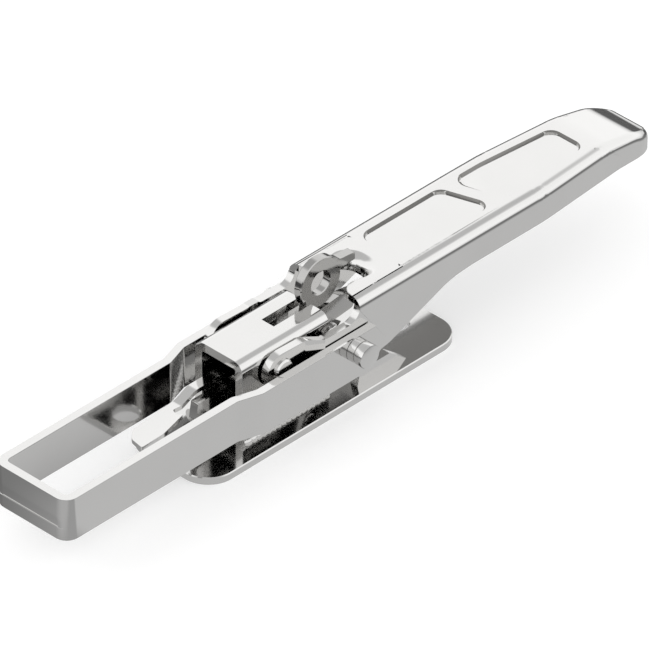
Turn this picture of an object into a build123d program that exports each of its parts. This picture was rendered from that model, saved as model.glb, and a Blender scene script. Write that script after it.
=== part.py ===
from build123d import *
from math import acos, atan2, cos, degrees, hypot, sin, tan
import os

os.makedirs("parts", exist_ok=True)

# Over centre toggle latch, shown shut.  X runs along the latch: the loop's front bar is at -X,
# the lever's free end at +X.  Y is across it, Z is up, and Z = 0 is the underside of the base
# plate.  X = 0 is the front face of the channel housing.  All sizes are in millimetres.

# base plate
PLATE_T = 2.5
PLATE_W = 36.0
PLATE_X0 = -23.0
PLATE_X1 = 85.5
PLATE_R = 9.5
MOUNT_D = 8.5
MOUNT_X = (-14.0, 76.0)
TOP = PLATE_T

# channel housing welded on the plate
CH_W = 20.0
CH_T = 3.0
CH_H = 28.0
CH_LEN = 37.0
CH_R_OUT = 3.6
CH_R_IN = 0.8
SLOT_W = 5.0
SLOT_X = 21.0

# lever pivot A, loop pivot B and catch pivot C: X, and height above the plate's top
A_X, A_H = 14.0, CH_H - 7.0
B_X, B_H = 40.0, 17.8
C_X, C_H = 29.0, 7.5
LEVER_PIN_D = 6.0
LEVER_PIN_HEAD_D = 7.4
LEVER_PIN_HEAD_T = 1.6
STUD_D = 6.0
STUD_HEAD_D = 8.0
STUD_REACH = 24.5
WASHER_D = 10.5
WASHER_T = 1.0
CATCH_PIN_D = 5.0
RUN_FIT = 0.05

# stop lugs the lever comes down on
LUG_IN = 12.2
LUG_T = 3.0
LUG_H = 5.5

# lever
LEVER_T = 2.5
LEVER_HALF = 14.7
LEVER_END_HALF = 11.2
LEVER_NOSE_HALF = 12.8
LEVER_H = 31.5
LEVER_END = 176.0
TAPER_X = 126.0
FALL_X = 112.0
FALL = 0.5
DROOP_X = 155.5
DROOP = 0.24
LEVER_FILLET = 3.0
OPEN_HALF = 8.0
OPEN_END = 59.3
DISH_RUN = 4.7
DISH_DROP = 2.4
PANEL_DEEP = 0.9

# loop (bail) bent from strap
STRAP_T = 3.0
STRAP_H = 15.0
STRAP_H0 = 7.4
BAIL_X0 = -76.0
BAIL_X1 = 49.0
BAIL_HALF = 15.5
BAIL_REAR_HALF = 18.1
STEP_X0 = -7.6
STEP_X1 = 0.6
BAIL_R_OUT = 4.5
BAIL_R_IN = 1.5

# safety catch, its thumb tab and its pivot parts
CATCH_T = 3.0
TAB_T = 2.0
TAB_H = 14.9
TAB_HALF = 5.4
TAB_X0 = -38.0
TAB_X1 = 4.0
EYE_X, EYE_H = 42.0, 33.2
EYE_R = 8.7
EYE_D = 7.2
SPACER_D = 7.4
WIRE_D = 0.9
COIL_R = 4.7
COIL_TURNS = 4
COIL_PITCH = 0.84
COIL_Y0 = 2.4
SPRING_LEG_H = 3.2


def corner_points(before, here, after, radius):
    """Start, middle and end of the arc that rounds one corner."""
    ux, uy = before[0] - here[0], before[1] - here[1]
    vx, vy = after[0] - here[0], after[1] - here[1]
    lu, lv = hypot(ux, uy), hypot(vx, vy)
    ux, uy, vx, vy = ux / lu, uy / lu, vx / lv, vy / lv
    half = acos(max(-1.0, min(1.0, ux * vx + uy * vy))) / 2
    run = radius / tan(half)
    wx, wy = ux + vx, uy + vy
    lw = hypot(wx, wy)
    deep = radius / sin(half) - radius
    start = (here[0] + ux * run, here[1] + uy * run)
    end = (here[0] + vx * run, here[1] + vy * run)
    middle = (here[0] + wx / lw * deep, here[1] + wy / lw * deep)
    return start, middle, end


def outline(points):
    """Flat face from corners given as (x, y, corner radius)."""
    count = len(points)
    arcs = []
    for i in range(count):
        here = points[i]
        if here[2] > 0:
            arcs.append(corner_points(points[i - 1], here, points[(i + 1) % count], here[2]))
        else:
            arcs.append((here[:2], None, here[:2]))
    edges = []
    for i in range(count):
        start, middle, end = arcs[i]
        last = arcs[i - 1][2]
        if hypot(start[0] - last[0], start[1] - last[1]) > 1e-5:
            edges.append(Edge.make_line((*last, 0), (*start, 0)))
        if middle is not None:
            edges.append(Edge.make_three_point_arc((*start, 0), (*middle, 0), (*end, 0)))
    return Face(Wire(edges))


def flat(points, z0, z1):
    """Block with the plan outline given, from height z0 to height z1."""
    return Pos(0, 0, z0) * extrude(outline(points), amount=z1 - z0, dir=(0, 0, 1))


def side(points, y0, y1):
    """Block with the side outline given as (x, height above the plate), from y0 to y1."""
    face = Plane.XZ.location * outline([(x, h + TOP, r) for x, h, r in points])
    return Pos(0, y0, 0) * extrude(face, amount=y1 - y0, dir=(0, 1, 0))


def rod(x, h, y0, y1, diameter):
    """Round bar across the latch at x and height h above the plate."""
    low, high = min(y0, y1), max(y0, y1)
    bar = Cylinder(diameter / 2, high - low, rotation=(90, 0, 0))
    return Pos(x, (low + high) / 2, h + TOP) * bar


def box(x0, x1, y0, y1, z0, z1):
    return Pos((x0 + x1) / 2, (y0 + y1) / 2, (z0 + z1) / 2) * Box(x1 - x0, y1 - y0, z1 - z0)


def mirrored(points):
    """Closed plan outline from one side's (x, half width, radius), front to back."""
    other = [(x, -y, r) for x, y, r in reversed(points)]
    return points + other


def save(shape, name):
    solid = shape.solids()[0] if len(shape.solids()) == 1 else shape
    solid.label = name
    export_step(solid, f"parts/{name}.step")
    print(name, len(shape.solids()), round(shape.volume, 1))
    return solid


# base plate: flat strip with round corners and one screw hole near each end
plate = flat([
    (PLATE_X0, -PLATE_W / 2, PLATE_R),
    (PLATE_X1, -PLATE_W / 2, PLATE_R),
    (PLATE_X1, PLATE_W / 2, PLATE_R),
    (PLATE_X0, PLATE_W / 2, PLATE_R),
], 0, PLATE_T)
for x in MOUNT_X:
    plate -= Pos(x, 0, PLATE_T / 2) * Cylinder(MOUNT_D / 2, PLATE_T * 2)
plate = chamfer(plate.edges().group_by(Axis.Z)[-1], 0.3)

# channel housing: folded channel, open at the front and below, slotted along its top
channel = Plane.YZ.location * outline([
    (-CH_W / 2, TOP, 0),
    (CH_W / 2, TOP, 0),
    (CH_W / 2, TOP + CH_H, CH_R_OUT),
    (-CH_W / 2, TOP + CH_H, CH_R_OUT),
])
channel = extrude(channel, amount=CH_LEN, dir=(1, 0, 0))
inside = Plane.YZ.location * outline([
    (-CH_W / 2 + CH_T, TOP - 1, 0),
    (CH_W / 2 - CH_T, TOP - 1, 0),
    (CH_W / 2 - CH_T, TOP + CH_H - CH_T, CH_R_IN),
    (-CH_W / 2 + CH_T, TOP + CH_H - CH_T, CH_R_IN),
])
channel -= Pos(-1, 0, 0) * extrude(inside, amount=CH_LEN + 2, dir=(1, 0, 0))
channel -= box(SLOT_X, CH_LEN + 1, -SLOT_W / 2, SLOT_W / 2, TOP + CH_H - CH_T - 1, TOP + CH_H + 1)
channel -= rod(A_X, A_H, -CH_W, CH_W, LEVER_PIN_D + 2 * RUN_FIT)
channel -= rod(C_X, C_H, -CH_W, CH_W, CATCH_PIN_D)

# stop lugs: low upright ears on the plate, sloped at the back
lug_side = [
    (44.0, 0, 0),
    (65.0, 0, 0),
    (58.0, LUG_H, 1.0),
    (45.2, LUG_H, 1.0),
]
lugs = {}
lugs["near"] = side(lug_side, -LUG_IN - LUG_T, -LUG_IN)
lugs["far"] = side(lug_side, LUG_IN, LUG_IN + LUG_T)


def bead(x0, x1, y, radius):
    """Fillet weld bead lying on the plate, with rounded ends."""
    body = Pos((x0 + x1) / 2, y, TOP) * Cylinder(radius, x1 - x0, rotation=(0, 90, 0))
    body += Pos(x0, y, TOP) * Sphere(radius)
    body += Pos(x1, y, TOP) * Sphere(radius)
    return body - box(x0 - 9, x1 + 9, y - 9, y + 9, TOP - 9, TOP)


# weld beads: along both feet of the housing and along the inner foot of each stop lug
channel_weld = bead(0.6, 34.0, -CH_W / 2 - 0.4, 2.4) - box(0, CH_LEN, -CH_W / 2, 0, 0, 20)
channel_weld -= box(-9, 0, -CH_W / 2 + 1.2, 0, 0, 20)
lug_weld = bead(47.5, 61.0, -LUG_IN + 0.3, 1.6) - box(40, 70, -LUG_IN - 9, -LUG_IN, 0, 20)

# lever: deep pressed tray.  The outside and the inside are each a plan outline raised to the
# top face, then the side outline trims the two flanges.
rear_plan = [
    (38.0, LEVER_HALF, 0),
    (TAPER_X, LEVER_HALF, 80.0),
    (LEVER_END, LEVER_END_HALF, 4.5),
]
nose_plan = [
    (0.0, LEVER_NOSE_HALF, 0),
    (23.4, LEVER_NOSE_HALF, 2.5),
    (29.8, LEVER_HALF, 2.5),
    (39.0, LEVER_HALF, 0),
]


def inner_plan(points, end_wall):
    inner = [(x, y - LEVER_T, max(0, r - LEVER_T)) for x, y, r in points]
    if end_wall:
        x, y, r = inner[-1]
        inner[-1] = (x - LEVER_T, y, r)
    return inner


def top_side(drop):
    """Side outline up to the lever's top face, which falls a little and droops at the end."""
    end_x = LEVER_END + 8
    end_h = LEVER_H - drop - FALL - DROOP * (end_x - DROOP_X)
    return [
        (30.0, 0, 0),
        (end_x, 0, 0),
        (end_x, end_h, 0),
        (DROOP_X, LEVER_H - drop - FALL, 25.0),
        (FALL_X, LEVER_H - drop, 0),
        (30.0, LEVER_H - drop, 0),
    ]


lever_out = flat(mirrored(rear_plan), 0, 50) & side(top_side(0), -30, 30)
rim = []
for e in lever_out.edges():
    c = e.center()
    if c.Z > TOP + 26 and c.X > 39 and (abs(c.Y) > 5 or c.X > LEVER_END - 1):
        rim.append(e)
lever_out = fillet(rim, LEVER_FILLET)
rear_inner = inner_plan(rear_plan, True)
rear_inner[0] = (36.0, rear_inner[0][1], 0)
lever_in = flat(mirrored(rear_inner), -1, 50) & side(top_side(LEVER_T), -30, 30)
nose_out = flat(mirrored(nose_plan), 0, TOP + 28)
nose_inner = inner_plan(nose_plan, False)
nose_inner[0] = (-1.0, nose_inner[0][1], 0)
nose_in = flat(mirrored(nose_inner), -1, TOP + 29)
lever_side = [
    (A_X - 6.7, A_H - 6.7, 6.6),
    (A_X + 6.5, A_H - 6.7, 4.0),
    (31.5, 5.8, 9.0),
    (51.5, 5.8, 2.0),
    (54.2, 8.7, 2.0),
    (58.0, 9.4, 4.0),
    (84.5, 19.3, 30.0),
    (94.0, 19.9, 20.0),
    (160.0, 19.9, 20.0),
    (168.0, 19.1, 20.0),
    (LEVER_END + 1, 19.1, 0),
    (LEVER_END + 1, 40.0, 0),
    (45.4, 40.0, 0),
    (45.4, 24.4, 5.0),
    (31.0, 24.7, 4.0),
    (24.0, A_H + 6.0, 5.0),
    (A_X - 6.7, A_H + 6.7, 6.2),
]
lever = (lever_out + nose_out - lever_in - nose_in) & side(lever_side, -40, 40)


def opening(grow):
    """Plan of the opening in the lever's top, grown by a distance at its rear end."""
    w = OPEN_HALF + grow
    return outline([
        (30.0, -w, 0),
        (OPEN_END + grow, -w, w * 0.8),
        (OPEN_END + grow, w, w * 0.8),
        (30.0, w, 0),
    ])


# opening in the lever's top for the padlock eye, with a drawn-down rim at its rear end
rim_h = TOP + LEVER_H - DISH_DROP
low_h = rim_h - LEVER_T
collar = loft([Pos(0, 0, low_h) * opening(2.6), Pos(0, 0, rim_h) * opening(7.0)])
collar &= box(53.0, 80, -12.0, 12.0, low_h, rim_h)
lever += collar
dish = loft([Pos(0, 0, rim_h) * opening(0), Pos(0, 0, rim_h + DISH_DROP + 0.1) * opening(DISH_RUN)])
dish &= box(53.0, 80, -20, 20, 0, 60)
lower = loft([Pos(0, 0, low_h - 0.1) * opening(1.2), Pos(0, 0, rim_h) * opening(0)])
lower &= box(53.0, 80, -20, 20, 0, 60)
throat = extrude(Pos(0, 0, TOP + 20) * opening(0), amount=20, dir=(0, 0, 1))
lever -= dish
lever -= lower
lever -= throat


def panel(points, x, h, slope):
    """Tool for a shallow recess in the lever's top, its walls sloped at 45 degrees."""
    wide = outline(points)
    floor = offset(wide, -PANEL_DEEP - 0.2).faces()[0]
    tool = loft([Pos(0, 0, 0.2) * wide, Pos(0, 0, -PANEL_DEEP) * floor])
    return Pos(x, 0, h + TOP) * (Rot(0, slope, 0) * (Pos(-x, 0, 0) * tool))


lever -= panel([
    (68.6, -9.2, 5.0),
    (109.9, -9.2, 4.0),
    (104.1, 9.2, 4.0),
    (68.6, 9.2, 4.5),
], 100, LEVER_H, 0)
fall_slope = degrees(atan2(FALL, DROOP_X - FALL_X))
lever -= panel([
    (114.2, -9.4, 4.5),
    (126.6, -9.4, 40.0),
    (151.9, -7.2, 4.0),
    (151.9, 7.2, 4.0),
    (122.5, 9.4, 40.0),
    (108.2, 9.4, 4.5),
], FALL_X, LEVER_H, fall_slope)
lever -= rod(A_X, A_H, -30, 30, LEVER_PIN_D)
lever -= rod(B_X, B_H, -30, 30, STUD_D)

# lever pivot pin: plain shank across the housing with a low head outside each flange
pin = rod(A_X, A_H, -LEVER_NOSE_HALF, LEVER_NOSE_HALF, LEVER_PIN_D)
for s in (-1, 1):
    head = rod(A_X, A_H, s * LEVER_NOSE_HALF, s * (LEVER_NOSE_HALF + LEVER_PIN_HEAD_T), LEVER_PIN_HEAD_D)
    rimmed = [e for e in head.edges() if e.geom_type == GeomType.CIRCLE and abs(e.center().Y) > 13.5]
    pin += chamfer(rimmed, 0.5)

# loop: strap bent to a long frame, stepped outward beside the housing, open at the back
bail_plan = [
    (BAIL_X1, -BAIL_REAR_HALF, 0),
    (BAIL_X1, -BAIL_REAR_HALF + STRAP_T, 0),
    (STEP_X1, -BAIL_REAR_HALF + STRAP_T, 4.0),
    (STEP_X0, -BAIL_HALF + STRAP_T, 4.0),
    (BAIL_X0 + STRAP_T, -BAIL_HALF + STRAP_T, BAIL_R_IN),
]
bail_outer = [
    (BAIL_X0, -BAIL_HALF, BAIL_R_OUT),
    (STEP_X0, -BAIL_HALF, 4.0),
    (STEP_X1, -BAIL_REAR_HALF, 4.0),
]
inner_half = bail_plan[1:]
half_out = list(reversed(bail_outer))
bail_points = [bail_plan[0]] + inner_half
bail_points += [(x, -y, r) for x, y, r in reversed(inner_half)]
bail_points += [(BAIL_X1, BAIL_REAR_HALF, 0)]
bail_points += [(x, -y, r) for x, y, r in half_out]
bail_points += bail_outer
bail = flat(bail_points, TOP + STRAP_H0, TOP + STRAP_H0 + STRAP_H)
strap_top = STRAP_H0 + STRAP_H
groove = side([
    (BAIL_X0 - 2, strap_top - 5.2, 0),
    (BAIL_X0 + 0.0, strap_top - 5.2, 0.5),
    (BAIL_X0 + 1.0, strap_top - 9.2, 2.0),
    (BAIL_X0 + 1.0, strap_top - 10.5, 0),
    (BAIL_X0 - 2, strap_top - 10.5, 0),
], -12.0, 12.0)
bail -= groove
bail -= rod(B_X, B_H, -30, 30, STUD_D + 2 * RUN_FIT)


PEEN_Y = LEVER_HALF - LEVER_T - WASHER_T


def stud(s):
    """Loop pivot stud: round head outside the arm, shank through arm and flange, peened end."""
    body = rod(B_X, B_H, s * PEEN_Y, s * (BAIL_REAR_HALF + 1), STUD_D)
    body += rod(B_X, B_H, s * (BAIL_REAR_HALF + 0.3), s * STUD_REACH, STUD_HEAD_D)
    body += rod(B_X, B_H, s * (PEEN_Y - 0.9), s * PEEN_Y, STUD_D + 1.6)
    ring = rod(B_X, B_H, s * 21.4, s * 21.7, STUD_HEAD_D + 2)
    ring -= rod(B_X, B_H, s * 21.0, s * 22.0, STUD_HEAD_D - 0.5)
    return body - ring


def stud_washer(s):
    """Flat washer between the peened end and the inside of the lever's flange."""
    disc = rod(B_X, B_H, s * PEEN_Y, s * (PEEN_Y + WASHER_T), WASHER_D)
    return disc - rod(B_X, B_H, s * 9, s * 15, STUD_D)


# safety catch: thick plate in the middle of the housing; its neck rises through the slot to
# the padlock eye, and a nose reaches back over the rim of the lever's opening
TIP_X, TIP_H = 56.75, 33.0
TIP_R = 1.3
catch = side([
    (-13.0, 7.2, 1.0),
    (4.0, 5.2, 20.0),
    (C_X - 5.5, C_H - 4.8, 6.0),
    (C_X + 5.0, C_H - 4.8, 4.0),
    (37.6, 12.0, 8.0),
    (38.4, 22.0, 8.0),
    (42.0, 26.0, 1.0),
    (42.0, EYE_H, 0),
    (34.0, EYE_H, 0),
    (33.2, 29.5, 2.0),
    (28.6, 24.0, 5.0),
    (27.4, TAB_H, 4.0),
    (-13.0, TAB_H, 0.6),
], -CATCH_T / 2, CATCH_T / 2)
catch += rod(EYE_X, EYE_H, -CATCH_T / 2, CATCH_T / 2, 2 * EYE_R)
nose = side([
    (EYE_X + 2.0, EYE_H + 1.0, 0),
    (EYE_X + 8.0, EYE_H + 1.5, 3.0),
    (TIP_X - 4.0, TIP_H - 1.5, 3.0),
    (TIP_X + 0.6, TIP_H - TIP_R, 1.1),
    (TIP_X + 0.9, TIP_H + 1.2, 1.1),
    (TIP_X - 5.0, TIP_H + 4.6, 5.0),
    (EYE_X + 4.0, EYE_H + EYE_R - 0.6, 6.0),
    (EYE_X, EYE_H + EYE_R, 0),
], -CATCH_T / 2, CATCH_T / 2)
catch += nose
catch -= rod(EYE_X, EYE_H, -5, 5, EYE_D)
catch -= rod(C_X, C_H, -5, 5, CATCH_PIN_D + 2 * RUN_FIT)

# thumb tab: flat pad in front of the housing, one prong running back beside the catch
tab = flat([
    (TAB_X0, -TAB_HALF, 0.6),
    (-31.0, -TAB_HALF, 9.0),
    (-15.6, -2.5, 0.3),
    (-15.6, -1.8, 0.3),
    (-17.4, -1.8, 0.5),
    (-17.4, CATCH_T / 2, 0.5),
    (TAB_X1, CATCH_T / 2, 0),
    (TAB_X1, TAB_HALF, 1.0),
    (TAB_X0, TAB_HALF, 4.5),
], TOP + TAB_H - TAB_T, TOP + TAB_H)

# catch pivot: flush pin, two spacer tubes and a torsion spring round the near one
catch_pin = rod(C_X, C_H, -CH_W / 2, CH_W / 2, CATCH_PIN_D)
catch_pin = chamfer(catch_pin.edges().filter_by(GeomType.CIRCLE), 0.3)


def spacer(s):
    tube = rod(C_X, C_H, s * (CATCH_T / 2 + 0.3), s * (CH_W / 2 - CH_T), SPACER_D)
    return tube - rod(C_X, C_H, -9, 9, CATCH_PIN_D)


# spring: close coil, then one leg down on the plate and one leg up under the catch's edge
def leave_angle(x, z, turn):
    """Angle on the coil whose tangent passes through the point (x, z)."""
    dx, dz = x - C_X, z - C_H - TOP
    return atan2(dz, dx) + turn * acos(COIL_R / hypot(dx, dz))


low_end = (13.6, TOP + WIRE_D / 2 + 0.02)
high_end = (15.0, TOP + SPRING_LEG_H)
last_y = -COIL_Y0 - COIL_PITCH * COIL_TURNS
spring = None
for i in range(COIL_TURNS + 1):
    ring = Pos(C_X, -COIL_Y0 - COIL_PITCH * i, C_H + TOP) * Torus(COIL_R, WIRE_D / 2, rotation=(90, 0, 0))
    spring = ring if spring is None else spring + ring


def wire(start, end):
    """Straight length of the spring's wire between two points."""
    run = Vector(*end) - Vector(*start)
    return Plane(origin=start, z_dir=run).location * Cylinder(
        WIRE_D / 2, run.length, align=(Align.CENTER, Align.CENTER, Align.MIN))


def on_coil(angle, y):
    return (C_X + COIL_R * cos(angle), y, C_H + TOP + COIL_R * sin(angle))


foot = (low_end[0], -COIL_Y0, low_end[1])
turn_in = (high_end[0], last_y, high_end[1])
hook = (high_end[0], CATCH_T / 2 - 0.2, high_end[1])
spring += wire(foot, on_coil(leave_angle(*low_end, 1), -COIL_Y0))
spring += wire(on_coil(leave_angle(*high_end, -1), last_y), turn_in)
spring += wire(turn_in, hook)
spring += Pos(*turn_in) * Sphere(WIRE_D / 2)

save(plate, "base_plate")
save(channel, "channel_housing")
save(lugs["near"], "stop_lug_near")
save(lugs["far"], "stop_lug_far")
save(channel_weld, "channel_weld_near")
save(mirror(channel_weld, Plane.XZ), "channel_weld_far")
save(lug_weld, "lug_weld_near")
save(mirror(lug_weld, Plane.XZ), "lug_weld_far")
save(lever, "lever")
save(pin, "lever_pin")
save(bail, "bail")
save(stud(-1), "bail_stud_near")
save(stud(1), "bail_stud_far")
save(stud_washer(-1), "bail_stud_washer_near")
save(stud_washer(1), "bail_stud_washer_far")
save(catch, "safety_catch")
save(tab, "thumb_tab")
save(catch_pin, "catch_pin")
save(spacer(-1), "catch_spacer_near")
save(spacer(1), "catch_spacer_far")
save(spring, "catch_spring")
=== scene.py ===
import math

import bmesh
import bpy
from mathutils import Matrix, Vector


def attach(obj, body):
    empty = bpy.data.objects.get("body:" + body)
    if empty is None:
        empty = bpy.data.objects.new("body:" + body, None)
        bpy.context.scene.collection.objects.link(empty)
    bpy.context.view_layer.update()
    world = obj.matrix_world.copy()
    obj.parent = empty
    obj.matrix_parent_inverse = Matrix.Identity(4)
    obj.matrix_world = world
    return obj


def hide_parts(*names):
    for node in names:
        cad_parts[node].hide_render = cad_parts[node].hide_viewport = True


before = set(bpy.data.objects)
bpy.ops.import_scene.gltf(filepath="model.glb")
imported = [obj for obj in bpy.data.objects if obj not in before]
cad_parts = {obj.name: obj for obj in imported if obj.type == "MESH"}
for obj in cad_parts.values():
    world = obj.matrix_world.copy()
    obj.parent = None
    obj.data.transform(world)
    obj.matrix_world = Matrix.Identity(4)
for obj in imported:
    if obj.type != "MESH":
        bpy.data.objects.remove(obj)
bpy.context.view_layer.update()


# Base plate: a strip of 2.5 mm stainless plate with rounded ends, laser cut and polished.  It is
# screwed down through the two holes and carries the housing and the two stop lugs.

def maths(tree, kind, *values):
    """One math node; its inputs are sockets or numbers."""
    node = tree.nodes.new("ShaderNodeMath")
    node.operation = kind
    for socket, value in zip(node.inputs, values):
        if isinstance(value, (int, float)):
            socket.default_value = value
        else:
            tree.links.new(value, socket)
    return node.outputs[0]


def polish_group():
    """Fine drawn grain, faint wipe marks and soft unevenness shared by every polished piece."""
    group = bpy.data.node_groups.new("polish", "ShaderNodeTree")
    for name, in_out, kind in (
            ("Grain Stretch", "INPUT", "Vector"), ("Base Roughness", "INPUT", "Float"),
            ("Spread", "INPUT", "Float"), ("Light", "INPUT", "Color"), ("Dark", "INPUT", "Color"),
            ("Color", "OUTPUT", "Color"), ("Roughness", "OUTPUT", "Float"), ("Height", "OUTPUT", "Float")):
        group.interface.new_socket(name=name, in_out=in_out, socket_type="NodeSocket" + kind)
    nodes, links = group.nodes, group.links
    given = nodes.new("NodeGroupInput")
    made = nodes.new("NodeGroupOutput")
    place = nodes.new("ShaderNodeTexCoord")
    drawn = nodes.new("ShaderNodeVectorMath")
    drawn.operation = "MULTIPLY"
    links.new(place.outputs["Object"], drawn.inputs[0])
    links.new(given.outputs["Grain Stretch"], drawn.inputs[1])
    grain = nodes.new("ShaderNodeTexNoise")
    grain.inputs["Scale"].default_value = 1.0
    grain.inputs["Detail"].default_value = 3.0
    links.new(drawn.outputs["Vector"], grain.inputs["Vector"])
    wipe = nodes.new("ShaderNodeTexNoise")
    wipe.inputs["Scale"].default_value = 55.0
    wipe.inputs["Detail"].default_value = 4.0
    wipe.inputs["Roughness"].default_value = 0.6
    links.new(place.outputs["Object"], wipe.inputs["Vector"])
    half_wipe = maths(group, "MULTIPLY", wipe.outputs["Fac"], 0.5)
    mean = maths(group, "MULTIPLY_ADD", grain.outputs["Fac"], 0.5, half_wipe)
    uneven = maths(group, "SUBTRACT", mean, 0.5)
    rough = maths(group, "MULTIPLY_ADD", uneven, given.outputs["Spread"], given.outputs["Base Roughness"])
    tone = nodes.new("ShaderNodeMix")
    tone.data_type = "RGBA"
    links.new(wipe.outputs["Fac"], tone.inputs["Factor"])
    links.new(given.outputs["Dark"], tone.inputs["A"])
    links.new(given.outputs["Light"], tone.inputs["B"])
    links.new(tone.outputs["Result"], made.inputs["Color"])
    links.new(rough, made.inputs["Roughness"])
    links.new(grain.outputs["Fac"], made.inputs["Height"])
    return group


polish = polish_group()


def steel(name, rough, spread, stretch, tone=0.62, grain=0.03):
    """One polished stainless finish: its own shader, with the shared grain set to its values."""
    made = bpy.data.materials.new(name)
    made.use_nodes = True
    nodes, links = made.node_tree.nodes, made.node_tree.links
    shader = nodes["Principled BSDF"]
    shader.inputs["Metallic"].default_value = 1.0
    skin = nodes.new("ShaderNodeGroup")
    skin.node_tree = polish
    skin.inputs["Grain Stretch"].default_value = stretch
    skin.inputs["Base Roughness"].default_value = rough
    skin.inputs["Spread"].default_value = spread
    skin.inputs["Light"].default_value = (tone + 0.02, tone + 0.016, tone + 0.008, 1)
    skin.inputs["Dark"].default_value = (tone - 0.02, tone - 0.024, tone - 0.032, 1)
    bump = nodes.new("ShaderNodeBump")
    bump.inputs["Strength"].default_value = grain
    bump.inputs["Distance"].default_value = 0.0001
    links.new(skin.outputs["Color"], shader.inputs["Base Color"])
    links.new(skin.outputs["Roughness"], shader.inputs["Roughness"])
    links.new(skin.outputs["Height"], bump.inputs["Height"])
    links.new(bump.outputs["Normal"], shader.inputs["Normal"])
    return made


def dress(names, material):
    """Gives CAD nodes their finish."""
    for name in names:
        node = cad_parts[name]
        node.data.materials.clear()
        node.data.materials.append(material)


def merged(name):
    """Copy of one CAD node's surface with its loose triangles joined."""
    shape = bmesh.new()
    shape.from_mesh(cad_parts[name].data)
    bmesh.ops.remove_doubles(shape, verts=shape.verts, dist=2e-6)
    return shape


def eased(shape, width):
    """Breaks every edge that turns by more than 40 degrees."""
    bmesh.ops.dissolve_limit(shape, angle_limit=math.radians(0.3), verts=shape.verts, edges=shape.edges)
    sharp = [e for e in shape.edges if e.is_manifold and e.calc_face_angle(0) > math.radians(40)]
    bmesh.ops.bevel(shape, geom=sharp, offset=width, offset_type="OFFSET", segments=2, profile=0.5,
                    affect="EDGES", clamp_overlap=True, material=-1)


def placed(shape, name, materials, body, node, sharp=30.0, even=False):
    """Turns a bmesh into a piece on its body, standing for one CAD node.

    Edges that turn by more than the sharp angle stay crisp; even lets large faces lead the shading.
    """
    for face in shape.faces:
        face.smooth = True
    data = bpy.data.meshes.new(name)
    shape.to_mesh(data)
    shape.free()
    if "custom_normal" in data.attributes:
        data.attributes.remove(data.attributes["custom_normal"])
    data.set_sharp_from_angle(angle=math.radians(sharp))
    for material in materials:
        data.materials.append(material)
    piece = bpy.data.objects.new(name, data)
    bpy.context.scene.collection.objects.link(piece)
    if even:
        piece.modifiers.new("even", "WEIGHTED_NORMAL").keep_sharp = True
    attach(piece, body)
    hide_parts(node)


plate_steel = steel("plate_polished", 0.11, 0.05, (60, 1200, 1200), 0.58)
PLATE_T = 0.0025
WIDER, LONGER = 1.025, 0.002
HOLES_HALF, REAR_END_X = 0.006, 0.075
plate = merged("base_plate")
# The sides and the rear end move out a little; the screw holes keep their size.
for v in plate.verts:
    if abs(v.co.y) > HOLES_HALF:
        v.co.y *= WIDER
        v.co.x += LONGER if v.co.x > REAR_END_X else 0.0
placed(plate, "plate", [plate_steel], "base", "base_plate", even=True)


# Channel housing: 3 mm stainless strip folded to a channel, slotted along its top.  Its feet stand
# on the plate and a hand-laid weld bead runs along each.

housing_steel = steel("housing_polished", 0.09, 0.04, (60, 1200, 1200))
housing = merged("channel_housing")
eased(housing, 0.00018)
placed(housing, "housing", [housing_steel], "base", "channel_housing", even=True)

weld_steel = steel("weld_bead_brushed", 0.22, 0.12, (500, 500, 500), 0.55, 0.3)


def weld_run(x0, x1, y, z, radius, step):
    """Weld bead laid in overlapping drops along x, with its ends closed down."""
    run = bmesh.new()
    upright = Matrix.Translation((x0, y, z)) @ Matrix.Rotation(math.pi / 2, 4, "Y")
    bmesh.ops.create_circle(run, cap_ends=True, segments=14, radius=radius, matrix=upright)
    ring = run.edges[:]
    count = int((x1 - x0) / step)
    size = 1.0
    for i in range(count):
        made = bmesh.ops.extrude_edge_only(run, edges=ring)["geom"]
        ring = [e for e in made if isinstance(e, bmesh.types.BMEdge)
                and all(abs(v.co.x - e.verts[0].co.x) < 1e-7 for v in e.verts) and e.is_boundary]
        verts = list({v for e in ring for v in e.verts})
        bmesh.ops.translate(run, verts=verts, vec=(step, 0, 0))
        ripple = 1.0 + 0.035 * math.cos(i * 0.9) + 0.015 * math.sin(i * 1.7)
        new_size = ripple * min(1.0, 0.55 + 0.12 * min(i, count - 1 - i))
        bmesh.ops.scale(run, verts=verts, vec=(1, new_size / size, new_size / size),
                        space=Matrix.Translation((0, -y, -z)))
        size = new_size
    bmesh.ops.holes_fill(run, edges=ring, sides=0)
    bmesh.ops.recalc_face_normals(run, faces=run.faces)
    return run


WELDS = (
    ("housing_bead_", "channel_weld_", -0.0014, 0.0360, 0.0104, 0.0023, 0.0003),
    ("lug_bead_", "lug_weld_", 0.0462, 0.0622, 0.0119, 0.0015, 0.00025),
)
for side_name, side in (("near", -1), ("far", 1)):
    for name, node, x0, x1, y, radius, step in WELDS:
        bead = weld_run(x0, x1, side * y, PLATE_T, radius, step)
        placed(bead, name + side_name, [weld_steel], "base", node + side_name, sharp=70)


# Stop lugs: two low ears of 3 mm stainless plate, laser cut and welded upright on the base plate.
# The flanges of the lever come down on them when it shuts.

lug_steel = steel("lug_polished", 0.14, 0.05, (300, 300, 1200))
dress(["stop_lug_near", "stop_lug_far"], lug_steel)


# Lever: one deep pressing in 2.5 mm stainless sheet, mirror polished, its rim rolled over with a
# soft radius and the back of its opening dished.  It turns on a pin riveted through the housing.

lever_steel = steel("lever_polished", 0.09, 0.04, (50, 1400, 1400))
# The panel walls get a dark, dull steel as painted shade: it draws the dark lines that shade and reflection
# put round each panel.
painted_panel_shade = steel("panel_wall_painted_shade", 0.30, 0.08, (300, 300, 300), 0.20)
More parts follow.
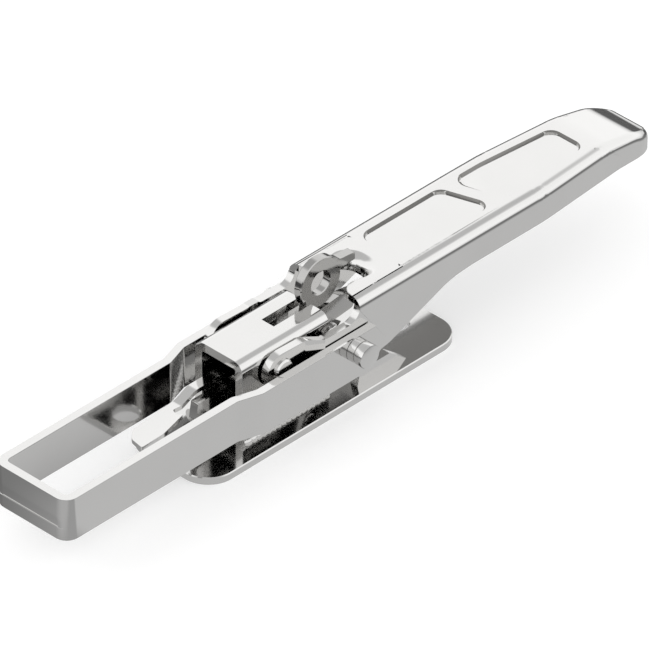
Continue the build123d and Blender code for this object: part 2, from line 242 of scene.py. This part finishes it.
# OLD is the measure of the plain CAD lever, and NEW that of the finished one.
OLD_END, NEW_END, STRETCH_X = 0.176, 0.1798, 0.153
OLD_CORNER, NEW_CORNER = 0.0045, 0.0075
OLD_EDGE, NEW_EDGE = 0.003, 0.0028
OLD_HALF, NEW_HALF, TAPER_X = 0.0147, 0.0150, 0.126
OLD_TAPER, NEW_TAPER = 0.0035 / 0.050, 0.0041 / 0.0552
OLD_NOSE, NEW_NOSE, NOSE_X = 0.0128, 0.0134, 0.0300
OLD_TOP, NEW_TOP, STEP_DOWN = 0.0315, 0.0313, 0.0005
OLD_SLOPE, OLD_SLOPE_X = 0.24, 0.1555
NEW_SLOPE, BEND_X, BEND_RUN, TIP_X = 0.21, 0.1525, 0.007, 0.1695
FLANK_HALF, FLANK_H = 0.009, 0.0192
RIM_R, RIM_SOFTER = 0.003, 1 / 3
PANEL_DEEP, PANEL_SHIFT, PANEL_END = 0.0009, 0.0005, 0.1535
FRONT_PANEL, REAR_PANEL, BETWEEN_X = (0.0880, 0.0205), (0.1310, 0.0200), 0.1115
WEB_END, REAR_CUT, FRONT_X, DECK_Z, SHEET_T = 0.0457, 0.0670, 0.0454, 0.0338, 0.0025
PATCH_HALF, PATCH_LAP, UNDER_HALF = 0.01092, 0.0115, 0.01200
THROAT_HALF, THROAT_R, ROUND_X, STRAIGHT = 0.0062, 0.0055, 0.0543, 0.0041
DISH_X0, DISH_X1, DISH_WIDE, DISH_DEEP = 0.0505, 0.0585, 0.0044, 0.0040
EDGE_R, UNDER_WIDE = 0.0003, 0.0022


def sliced(shape, place, faces=None):
    """Cuts edges across a shape, or some of its faces, at the one coordinate of place that is set."""
    across = [1.0 if value else 0.0 for value in place]
    if faces is None:
        geom = shape.verts[:] + shape.edges[:] + shape.faces[:]
    else:
        geom = faces + list({e for f in faces for e in f.edges}) + list({v for f in faces for v in f.verts})
    bmesh.ops.bisect_plane(shape, geom=geom, dist=1e-7, plane_co=place, plane_no=across)


def joined(shape, part):
    """Adds a second shape to the first."""
    spare = bpy.data.meshes.new("spare")
    part.to_mesh(spare)
    part.free()
    shape.from_mesh(spare)
    bpy.data.meshes.remove(spare)


def corner_gone(left, radius):
    """How far a rounded corner has come in at this distance from the end."""
    run = radius - max(0.0, min(radius, left))
    return radius - math.sqrt(max(0.0, radius * radius - run * run))


def eased_step(value, low, high):
    """Smooth step from 0 to 1."""
    share = max(0.0, min(1.0, (value - low) / (high - low)))
    return share * share * (3 - 2 * share)


lever = merged("lever")
for x in (REAR_CUT, 0.1540, 0.1555, 0.157, 0.1585, 0.161, 0.164, 0.1665, 0.168, 0.1693, 0.1705, 0.1715,
          0.1724, 0.1731, 0.1737, 0.1743, 0.1748, 0.1752, 0.1755, 0.1758):
    sliced(lever, (x, 0, 0))

for v in lever.verts:
    x, y, h = v.co.x, v.co.y, v.co.z - PLATE_T
    side, wide = (-1 if y < 0 else 1), abs(y)
    new_x = x
    if x >= STRETCH_X:
        new_x = STRETCH_X + (x - STRETCH_X) * (NEW_END - STRETCH_X) / (OLD_END - STRETCH_X)
    half_old = OLD_HALF - OLD_TAPER * max(0.0, x - TAPER_X)
    half_new = NEW_HALF - NEW_TAPER * max(0.0, new_x - TAPER_X)
    lower = STEP_DOWN * eased_step(x, 0.112, 0.150)
    top_old = OLD_TOP - lower - OLD_SLOPE * max(0.0, x - OLD_SLOPE_X)
    begun = max(0.0, min(BEND_RUN, new_x - BEND_X))
    sloped = begun ** 2 / (2 * BEND_RUN) + max(0.0, new_x - BEND_X - BEND_RUN) + max(0.0, new_x - TIP_X)
    top_new = NEW_TOP - lower - NEW_SLOPE * sloped
    across, down = half_old - wide, top_old - h
    rim = math.hypot(RIM_R - across, RIM_R - down)

    # The walls of both panels are made steeper.
    if abs(down - PANEL_DEEP) < 0.00012 and wide < 0.0098 and REAR_CUT < x < PANEL_END:
        middle, length = FRONT_PANEL if x < BETWEEN_X else REAR_PANEL
        new_x += PANEL_SHIFT * max(-1.0, min(1.0, (x - middle) / length * 1.3))
        wide += PANEL_SHIFT * min(1.0, wide / 0.0060)

    # The rolled rim is a third softer, but for the tip, and the deck behind the panels is trued.
    if x > 0.0385 and across < 0.00315 and down < 0.00330 and abs(rim - RIM_R) < 0.0009:
        size = RIM_R * (1.0 + RIM_SOFTER * eased_step(-x, -0.170, -0.150))
        if x > 0.1725:
            rim = RIM_R
        wide = half_old - size + size * (RIM_R - across) / rim
        h = top_old - size + size * (RIM_R - down) / rim
    elif x > 0.1523 and across > RIM_R and abs(down) < 0.0003:
        h = top_old

    # The nose is wider, and the rear end is wider and longer and slopes down to the tip.
    if x < NOSE_X:
        wide *= NEW_NOSE / OLD_NOSE if wide > FLANK_HALF else 1.0
    elif wide > FLANK_HALF or x > STRETCH_X:
        gone_old = corner_gone(OLD_END - x, OLD_CORNER)
        gone_new = corner_gone(NEW_END - new_x, NEW_CORNER)
        wide *= (half_new - gone_new) / (half_old - gone_old)
    if x > 0.150 and h > FLANK_H:
        tall_old = top_old - corner_gone(OLD_END - x, OLD_EDGE) - FLANK_H
        tall_new = top_new - corner_gone(NEW_END - new_x, NEW_EDGE) - FLANK_H
        h = FLANK_H + (h - FLANK_H) * tall_new / tall_old
    elif h > 0.024:
        h += top_new - top_old
    v.co = (new_x, side * wide, h + PLATE_T)
bmesh.ops.recalc_face_normals(lever, faces=lever.faces)
# Faces on the panel walls take the second material, the painted shade that outlines the panels.
for face in lever.faces:
    mid = face.calc_center_median()
    in_panels = REAR_CUT < mid.x < PANEL_END and abs(mid.y) < 0.0102 and mid.z > 0.0320
    if in_panels and 0.2 < face.normal.z < 0.97:
        face.material_index = 1

# The web round the opening makes way for a dished patch.
for side in (-1, 1):
    web_end = [f for f in lever.faces
               if f.calc_center_median().x < WEB_END and f.calc_center_median().z > 0.0300]
    sliced(lever, (0, side * PATCH_HALF, 0), web_end)


def makes_way(face):
    """Whether a face of the lever lies where the patch goes."""
    mid = face.calc_center_median()
    half = max(abs(v.co.y) for v in face.verts)
    low = min(v.co.z for v in face.verts)
    if mid.x < WEB_END and half < PATCH_HALF + 1e-5 and low > 0.0312:
        return True
    if not all(0.0440 < v.co.x < REAR_CUT + 1e-6 for v in face.verts):
        return False
    if face.normal.z > 0.9997 and half < 0.0120 and low > DECK_Z - 0.0001:
        return True
    if mid.z < 0.0255:
        return False
    return half < 0.01115 if face.normal.z > 0.99 else mid.x > WEB_END and half < 0.01235


bmesh.ops.delete(lever, geom=[f for f in lever.faces if makes_way(f)], context="FACES")

# Half of the opening's outline as (x, y) with the way out from it, and then its mirror half.
FRONT_R = PATCH_HALF - THROAT_HALF
path = []
for a in (math.pi / 2 * i / 8 for i in range(9)):
    out_x, out_y = math.cos(a), -math.sin(a)
    path.append((FRONT_X + FRONT_R * (1 - out_x), -PATCH_HALF - FRONT_R * out_y, out_x, out_y))
for i in range(4, 0, -1):
    path.append((ROUND_X - STRAIGHT * i / 5, -THROAT_HALF, 0.0, -1.0))
for a in (math.pi / 2 * i / 12 for i in range(13)):
    out_x, out_y = math.sin(a), -math.cos(a)
    path.append((ROUND_X + THROAT_R * out_x, THROAT_R - THROAT_HALF + THROAT_R * out_y, out_x, out_y))
path += [(x, -y, nx, -ny) for x, y, nx, ny in reversed(path)]


def throat_ring(work, grow, drop, plain_grow, plain_drop):
    """One line round the opening; the rear share is drawn out and down, the front is plain."""
    row = []
    for x, y, nx, ny in path:
        share = eased_step(x, DISH_X0, DISH_X1)
        out = plain_grow + (grow - plain_grow) * share * (0.5 + 0.5 * max(0.0, nx))
        low = plain_drop + (drop - plain_drop) * share
        row.append(work.verts.new((x + nx * out, y + ny * out, DECK_Z - low)))
    return row


def frame_ring(work, half, level):
    """The patch's outer line: straight along both flanks and across behind the opening."""
    row = []
    for x, y, nx, ny in path:
        if x < ROUND_X + 1e-7:
            spot = (x, math.copysign(half, y))
        else:
            reach = min((REAR_CUT - ROUND_X) / max(nx, 1e-6), half / max(abs(ny), 1e-6))
            spot = (ROUND_X + nx * reach, ny * reach)
        on_deck = level > DECK_Z - 0.0001 and abs(spot[1]) < PATCH_HALF
        row.append(work.verts.new((spot[0], spot[1], DECK_Z if on_deck else level)))
    return row


# The patch runs from the deck over the dished edge, down the wall and back under the sheet.
patch = bmesh.new()
rows = [frame_ring(patch, PATCH_LAP, DECK_Z - 0.00004)]
for turn in (0, 14, 32, 52, 70, 90):
    out, deep = 1 - math.sin(math.radians(turn)), 1 - math.cos(math.radians(turn))
    rows.append(throat_ring(patch, DISH_WIDE * out, DISH_DEEP * deep, EDGE_R * out, EDGE_R * deep))
rows.append(throat_ring(patch, 0.0, 0.0050, 0.0, 0.0022))
for turn in (60, 30, 0):
    out = 1 - math.sin(math.radians(turn))
    rows.append(throat_ring(patch, 0.0002 + UNDER_WIDE * out, 0.0053 - 0.0006 * out, EDGE_R * out, SHEET_T))
rows.append(throat_ring(patch, 0.0062, 0.0028, 0.0004, SHEET_T))
rows.append(frame_ring(patch, UNDER_HALF, DECK_Z - SHEET_T))
for one, two in zip(rows, rows[1:]):
    for i in range(len(path) - 1):
        patch.faces.new((one[i], one[i + 1], two[i + 1], two[i]))
for i in (0, -1):
    patch.faces.new([row[i] for row in rows])
bmesh.ops.remove_doubles(patch, verts=patch.verts, dist=1e-6)
bmesh.ops.recalc_face_normals(patch, faces=patch.faces)
deck = [f for f in patch.faces if abs(f.normal.z) > 0.99 and f.calc_center_median().z > DECK_Z - 0.0001]
if max(deck, key=lambda f: f.calc_area()).normal.z < 0:
    bmesh.ops.reverse_faces(patch, faces=patch.faces)
joined(lever, patch)
placed(lever, "pressed_lever", [lever_steel, painted_panel_shade], "lever", "lever", sharp=28, even=True)
pin_steel = steel("turned_pin", 0.16, 0.06, (900, 300, 900))
dress(["lever_pin"], pin_steel)


# Loop: stainless strap 3 mm thick, bent to a long frame and hung on two headed studs that are
# peened over washers inside the lever's flanges.

strap_steel = steel("strap_polished", 0.09, 0.04, (50, 1400, 1400))


def cut_sheet(work, corners, level, up):
    """Flat sheet from its corners (a, b, radius), each rounded, then raised to a thickness.

    It lies in x and y, or stands in x and height above the plate where up points along y.
    """
    standing = up[1] > 0
    spots = [(a, level, b + PLATE_T) if standing else (a, b, level) for a, b, _ in corners]
    row = [work.verts.new(spot) for spot in spots]
    work.faces.new(row)
    count = len(row)
    sizes = []
    for i, (_, _, radius) in enumerate(corners):
        one = (row[i - 1].co - row[i].co).normalized()
        two = (row[(i + 1) % count].co - row[i].co).normalized()
        sizes.append(radius / math.tan(one.angle(two) / 2))
    for corner, size in zip(row, sizes):
        if size > 0:
            bmesh.ops.bevel(work, geom=[corner], offset=size, offset_type="OFFSET", segments=6, profile=0.5,
                            affect="VERTICES", clamp_overlap=False, material=-1)
    sheet = [f for f in work.faces if all(abs(v.co[1 if standing else 2] - level) < 1e-7 for v in f.verts)]
    made = bmesh.ops.extrude_face_region(work, geom=sheet)["geom"]
    bmesh.ops.translate(work, verts=[v for v in made if isinstance(v, bmesh.types.BMVert)], vec=up)
    bmesh.ops.recalc_face_normals(work, faces=work.faces)


LOOP_FRONT, LOOP_REAR = -0.0796, 0.049
FRONT_HALF, REAR_HALF = 0.01565, 0.0183
STRAP_T, STRAP_LOW, STRAP_TALL = 0.003, 0.0093, 0.0149
JOGGLE_X0, JOGGLE_X1, JOGGLE_R = -0.0076, 0.0006, 0.0040
inside = [
    (LOOP_REAR, -REAR_HALF + STRAP_T, 0.0),
    (JOGGLE_X1, -REAR_HALF + STRAP_T, JOGGLE_R),
    (JOGGLE_X0, -FRONT_HALF + STRAP_T, JOGGLE_R),
    (LOOP_FRONT + STRAP_T, -FRONT_HALF + STRAP_T, 0.0015),
]
outside = [
    (LOOP_FRONT, -FRONT_HALF, 0.0045),
    (JOGGLE_X0, -FRONT_HALF, JOGGLE_R),
    (JOGGLE_X1, -REAR_HALF, JOGGLE_R),
    (LOOP_REAR, -REAR_HALF, 0.0),
]
loop = bmesh.new()
far_inside, far_outside = ([(x, -y, r) for x, y, r in reversed(half)] for half in (inside, outside))
cut_sheet(loop, inside + far_inside + far_outside + outside, STRAP_LOW, (0, 0, STRAP_TALL))
eased(loop, 0.00016)

LEDGE_H, LEDGE_RISE, SCOOP_TOP = 0.0111, 0.00008, 0.0185
SCOOP_MID, SCOOP_R, SCOOP_DEEP = 0.0114, 0.0177, 0.00032
BAR_T, FACE_T = 0.0029, 0.0026
for h in (LEDGE_H, LEDGE_H + LEDGE_RISE, 0.0118, 0.0125, 0.0132, 0.0139, 0.0145, 0.0150, 0.0155, 0.0160):
    bar = [f for f in loop.faces if all(v.co.x < LOOP_FRONT + BAR_T for v in f.verts)]
    sliced(loop, (0, 0, h + PLATE_T), bar)
for v in loop.verts:
    h = v.co.z - PLATE_T
    if LEDGE_H + LEDGE_RISE / 2 < h < SCOOP_TOP and v.co.x < LOOP_FRONT + FACE_T:
        deep = SCOOP_DEEP - SCOOP_R + math.sqrt(SCOOP_R ** 2 - (h - SCOOP_MID) ** 2)
        v.co.x = max(v.co.x, LOOP_FRONT + deep)
placed(loop, "strap_loop", [strap_steel], "bail", "bail", even=True)


def turned(profile, x, z):
    """Round piece across the latch from its (y, radius) profile."""
    work = bmesh.new()
    row = [work.verts.new((x, y, z + radius)) for y, radius in profile]
    edges = [work.edges.new(pair) for pair in zip(row, row[1:])]
    bmesh.ops.spin(work, geom=row + edges, cent=(x, 0, z), axis=(0, 1, 0), angle=2 * math.pi, steps=40,
                   use_merge=True)
    bmesh.ops.remove_doubles(work, verts=work.verts, dist=1e-6)
    bmesh.ops.recalc_face_normals(work, faces=work.faces)
    return work


STUD_X, STUD_Z, STUD_R, ARM_Y = 0.040, 0.0203, 0.0030, 0.0184
for side_name, side, reach, head in (("near", -1, 0.0244, 0.0040), ("far", 1, 0.0192, 0.0036)):
    groove = [(0.0210, head), (0.0211, head - 0.0003), (0.0214, head - 0.0003), (0.0215, head)]
    profile = [(0.0103, 0), (0.0103, 0.0036), (0.0106, 0.0039), (0.0112, 0.0039), (0.0112, STUD_R),
               (ARM_Y, STUD_R), (ARM_Y, head)]
    profile += groove if side_name == "near" else []
    profile += [(reach - 0.0003, head), (reach - 0.0001, head - 0.0001), (reach, head - 0.0003), (reach, 0)]
    stud = turned([(side * y, radius) for y, radius in profile], STUD_X, STUD_Z)
    placed(stud, "loop_stud_" + side_name, [pin_steel], "lever", "bail_stud_" + side_name, sharp=35)
dress(["bail_stud_washer_near", "bail_stud_washer_far"], pin_steel)


# Safety catch: 3 mm stainless plate with the padlock eye and nose at its rear and a thumb tab
# welded to its front, rocking on a cross pin between two spacer tubes.  The heel under the eye is
# a guess at what fills that place.

# The catch's steel is toned darker than the rest as painted shade, standing for the dark reflections on its
# eye.
catch_painted_shade_steel = steel("catch_polished_painted_shade", 0.10, 0.04, (300, 300, 1200), 0.40)
tab_steel = steel("tab_polished", 0.10, 0.04, (300, 300, 1200))
EYE_X, EYE_Z, EYE_R, EYE_HOLE = 0.0422, 0.0352, 0.0086, 0.0039
NECK = [
    (-0.0112, 0.0090, 0.0006),
    (0.0040, 0.0052, 0.0),
    (0.0235, 0.0027, 0.0050),
    (0.0340, 0.0027, 0.0040),
    (0.0376, 0.0120, 0.0080),
    (0.0384, 0.0220, 0.0060),
    (0.0420, 0.0262, 0.0),
    (0.0362, 0.0277, 0.0),
    (0.0355, 0.0230, 0.0040),
    (0.0295, 0.0149, 0.0040),
    (-0.0102, 0.0149, 0.0006),
]
NOSE = [
    (0.0475, 0.0340, 0.0),
    (0.0569, 0.0340, 0.0004),
    (0.0569, 0.0367, 0.0006),
    (0.0505, 0.0372, 0.0040),
    (0.0464, 0.0398, 0.0),
    (0.0440, 0.0388, 0.0),
]
HEEL = [
    (0.0374, 0.0150, 0.0),
    (0.0560, 0.0168, 0.0012),
    (0.0578, 0.0226, 0.0016),
    (0.0500, 0.0238, 0.0040),
    (0.0376, 0.0225, 0.0),
]
catch = bmesh.new()
# Each outline is a hair thinner than the last, so that no two faces lie in one plane.
for outline, half in ((NECK, 0.00149), (NOSE, 0.00148), (HEEL, 0.00147)):
    part = bmesh.new()
    cut_sheet(part, outline, -half, (0, 2 * half, 0))
    joined(catch, part)
eye = bmesh.new()
HALF_T, BREAK = 0.0015, 0.0003
ring = [(HALF_T - BREAK, EYE_HOLE), (HALF_T, EYE_HOLE + BREAK),
        (HALF_T, EYE_R - BREAK), (HALF_T - BREAK, EYE_R)]
ring = [(-HALF_T + BREAK, EYE_HOLE)] + ring + [(-y, radius) for y, radius in reversed(ring[1:])]
row = [eye.verts.new((EYE_X, y, EYE_Z + radius)) for y, radius in ring]
edges = [eye.edges.new((row[i - 1], row[i])) for i in range(len(row))]
bmesh.ops.spin(eye, geom=row + edges, cent=(EYE_X, 0, EYE_Z), axis=(0, 1, 0), angle=2 * math.pi, steps=56,
               use_merge=True)
bmesh.ops.recalc_face_normals(eye, faces=eye.faces)
joined(catch, eye)
placed(catch, "catch_plate", [catch_painted_shade_steel], "safety_catch", "safety_catch")

tab = bmesh.new()
cut_sheet(tab, [
    (-0.0375, -0.00495, 0.0006),
    (-0.0280, -0.00470, 0.0090),
    (-0.0172, -0.0020, 0.0003),
    (-0.0172, -0.0016, 0.0002),
    (-0.0184, -0.0010, 0.0010),
    (-0.0178, 0.0020, 0.0012),
    (-0.0142, 0.0015, 0.0015),
    (0.0040, 0.0015, 0.0),
    (0.0040, 0.00495, 0.0010),
    (-0.0150, 0.00495, 0.0150),
    (-0.0335, 0.0034, 0.0045),
    (-0.0366, 0.0002, 0.0030),
], 0.0159, (0, 0, 0.0015))
BEND_RISE, BEND_X0, BEND_X1 = 0.0026, -0.0152, -0.0071
for x in (-0.0150, -0.0144, -0.0138, -0.0131, -0.0124, -0.0112, -0.0100, -0.0092, -0.0085, -0.0079, -0.0073):
    sliced(tab, (x, 0, 0))
for v in tab.verts:
    v.co.z += BEND_RISE * eased_step(v.co.x, BEND_X0, BEND_X1)
placed(tab, "tab_strip", [tab_steel], "safety_catch", "thumb_tab", sharp=40)
dress(["catch_pin", "catch_spacer_near", "catch_spacer_far"], pin_steel)


# Catch spring: torsion spring of 0.9 mm hard drawn stainless wire, wound round the near spacer;
# one leg lies on the plate and the other lifts the catch from below.

spring_steel = steel("spring_wire", 0.18, 0.06, (900, 900, 900))
HUB = Vector((0.029, 0, 0.010))
COIL_R, WIRE_R, COIL_Y, COIL_WIDE = 0.0047, 0.00045, -0.0058, 0.0029
START, FINISH = math.radians(278.2), math.radians(125.8 + 4 * 360)
STEPS = 130
PLATE_LEG, CATCH_LEG = Vector((0.0136, COIL_Y, 0.00297)), Vector((0.0150, 0.0, 0.0057))
spring = bmesh.new()
begin = HUB + Vector((COIL_R * math.cos(START), COIL_Y, COIL_R * math.sin(START)))
along = Vector((-math.sin(START), 0, math.cos(START)))
bmesh.ops.create_circle(spring, cap_ends=False, segments=10, radius=WIRE_R,
                        matrix=Matrix.Translation(begin) @ along.to_track_quat("Z", "Y").to_matrix().to_4x4())
first = spring.edges[:]
wound = bmesh.ops.spin(spring, geom=first, cent=HUB, axis=(0, -1, 0), angle=FINISH - START, steps=STEPS,
                       dvec=(0, COIL_WIDE / STEPS, 0))["geom_last"]
last = [e for e in wound if isinstance(e, bmesh.types.BMEdge)]
for rim, foot in ((first, PLATE_LEG), (last, CATCH_LEG)):
    made = bmesh.ops.extrude_edge_only(spring, edges=rim)["geom"]
    verts = [v for v in made if isinstance(v, bmesh.types.BMVert)]
    middle = sum((v.co for v in verts), Vector()) / len(verts)
    bmesh.ops.translate(spring, verts=verts, vec=foot - middle)
    bmesh.ops.contextual_create(spring, geom=verts)
bmesh.ops.recalc_face_normals(spring, faces=spring.faces)
placed(spring, "wound_spring", [spring_steel], "base", "catch_spring", sharp=50)


# Stage: a pale floor in a soft ring of light, with the camera far off behind a long lens.  What the
# polished steel mirrors is a glow painted on the floor for reflections only, with painted shade that darkens
# it on the far side, just in front of the loop and away from the latch, and a sky in soft bands.

FLOOR_HALF, FLOOR_DROP = 8.0, 0.00005
FLOOR_TONE, FLOOR_GLOW = 0.72, 0.34
floor_mesh = bmesh.new()
bmesh.ops.create_grid(floor_mesh, x_segments=1, y_segments=1, size=FLOOR_HALF)
bmesh.ops.translate(floor_mesh, verts=floor_mesh.verts, vec=(0, 0, -FLOOR_DROP))
floor_data = bpy.data.meshes.new("floor")
floor_mesh.to_mesh(floor_data)
floor_mesh.free()
floor = bpy.data.objects.new("floor", floor_data)
bpy.context.scene.collection.objects.link(floor)


def graded(tree, value, low, high, at_low, at_high):
    """Smooth step from one level to another."""
    node = tree.nodes.new("ShaderNodeMapRange")
    node.interpolation_type = "SMOOTHSTEP"
    for name, level in (("From Min", low), ("From Max", high), ("To Min", at_low), ("To Max", at_high)):
        node.inputs[name].default_value = level
    tree.links.new(value, node.inputs["Value"])
    return node.outputs["Result"]


def spot_of(tree, kind):
    """The x, y and z of the place that a ray meets."""
    place = tree.nodes.new("ShaderNodeTexCoord")
    split = tree.nodes.new("ShaderNodeSeparateXYZ")
    tree.links.new(place.outputs[kind], split.inputs[0])
    return split.outputs


def shown_by_ray(tree, out_node, rays, usual, special):
    """Gives one kind of ray its own shader and all others the usual one."""
    pick = tree.nodes.new("ShaderNodeMixShader")
    tree.links.new(rays, pick.inputs["Fac"])
    tree.links.new(usual.outputs[0], pick.inputs[1])
    tree.links.new(special.outputs[0], pick.inputs[2])
    tree.links.new(pick.outputs[0], tree.nodes.new(out_node).inputs["Surface"])


paper = bpy.data.materials.new("pale_floor")
paper.use_nodes = True
ground = paper.node_tree
ground.nodes.clear()
MIDDLE_X, REACH = 0.05, 0.13
ray = ground.nodes.new("ShaderNodeLightPath")
spot = spot_of(ground, "Object")
off_middle = maths(ground, "ABSOLUTE", maths(ground, "SUBTRACT", spot["X"], MIDDLE_X))
past_end = maths(ground, "MAXIMUM", maths(ground, "SUBTRACT", off_middle, REACH), 0.0)
away = maths(ground, "SQRT", maths(ground, "ADD", maths(ground, "MULTIPLY", past_end, past_end),
                                   maths(ground, "MULTIPLY", spot["Y"], spot["Y"])))
# Glossy rays see the floor as a painted glow with painted shade: darker on the far side, darker just in front
# of the loop, full under the latch and fading away from it.
far_side_painted_shade = graded(ground, spot["Y"], -0.02, 0.035, 0.74, 0.34)
front_painted_shade = graded(ground, spot["X"], -0.101, -0.084, 0.84, 0.66)
under = graded(ground, spot["X"], -0.078, -0.060, 0.0, 1.0)
painted_falloff = graded(ground, away, 0.055, 0.14, 1.0, 0.36)
painted_light_level = maths(ground, "MULTIPLY", far_side_painted_shade, maths(ground, "MAXIMUM", front_painted_shade, under))
painted_mirror_glow = ground.nodes.new("ShaderNodeEmission")
ground.links.new(maths(ground, "MULTIPLY", painted_light_level, painted_falloff), painted_mirror_glow.inputs["Strength"])
matt = ground.nodes.new("ShaderNodeBsdfDiffuse")
matt.inputs["Color"].default_value = (FLOOR_TONE, FLOOR_TONE, FLOOR_TONE, 1)
glow = ground.nodes.new("ShaderNodeEmission")
ground.links.new(maths(ground, "MULTIPLY", ray.outputs["Is Camera Ray"], FLOOR_GLOW), glow.inputs["Strength"])
bright = ground.nodes.new("ShaderNodeAddShader")
ground.links.new(matt.outputs[0], bright.inputs[0])
ground.links.new(glow.outputs[0], bright.inputs[1])
shown_by_ray(ground, "ShaderNodeOutputMaterial", ray.outputs["Is Glossy Ray"], bright, painted_mirror_glow)
floor_data.materials.append(paper)

world = bpy.data.worlds.new("studio")
bpy.context.scene.world = world
world.use_nodes = True
air = world.node_tree
air.nodes.clear()
ray = air.nodes.new("ShaderNodeLightPath")
band = air.nodes.new("ShaderNodeValToRGB")
SKY = ((0.0, 0.30), (0.05, 1.0), (0.22, 1.45), (0.69, 1.38), (0.77, 0.75), (1.0, 0.70))
top_level = max(level for _, level in SKY)
while len(band.color_ramp.elements) < len(SKY):
    band.color_ramp.elements.new(0.5)
for stop, (height, level) in zip(band.color_ramp.elements, SKY):
    stop.position = height
    stop.color = (level / top_level,) * 3 + (1,)
air.links.new(spot_of(air, "Generated")["Z"], band.inputs["Fac"])
sky = air.nodes.new("ShaderNodeBackground")
sky.inputs["Strength"].default_value = top_level
air.links.new(band.outputs["Color"], sky.inputs["Color"])
white = air.nodes.new("ShaderNodeBackground")
white.inputs["Color"].default_value = (1, 1, 1, 1)
white.inputs["Strength"].default_value = 1.0
shown_by_ray(air, "ShaderNodeOutputWorld", ray.outputs["Is Camera Ray"], sky, white)

CAM_AZ, CAM_EL = math.radians(45.6827), math.radians(35.6485)
FOCAL_PX = 13139.0
IMAGE_PX = 650
DISTANCE = 3.9474
AIM = Vector((0.030, 0, 0.0175))
OFF_RIGHT, OFF_UP = 0.0108501, 0.0061703
back = Vector((-math.sin(CAM_AZ) * math.cos(CAM_EL), -math.cos(CAM_AZ) * math.cos(CAM_EL), math.sin(CAM_EL)))
right = Vector((math.cos(CAM_AZ), -math.sin(CAM_AZ), 0))
up = back.cross(right)
lens = bpy.data.cameras.new("camera")
lens.sensor_width = 36.0
lens.lens = FOCAL_PX / IMAGE_PX * lens.sensor_width
lens.clip_start, lens.clip_end = 0.5, 40.0
camera = bpy.data.objects.new("camera", lens)
bpy.context.scene.collection.objects.link(camera)
stand = AIM + DISTANCE * back + OFF_RIGHT * right + OFF_UP * up
camera.matrix_world = Matrix.Translation(stand) @ Matrix((right, up, back)).transposed().to_4x4()
bpy.context.scene.camera = camera
bpy.context.scene.view_settings.view_transform = "Standard"
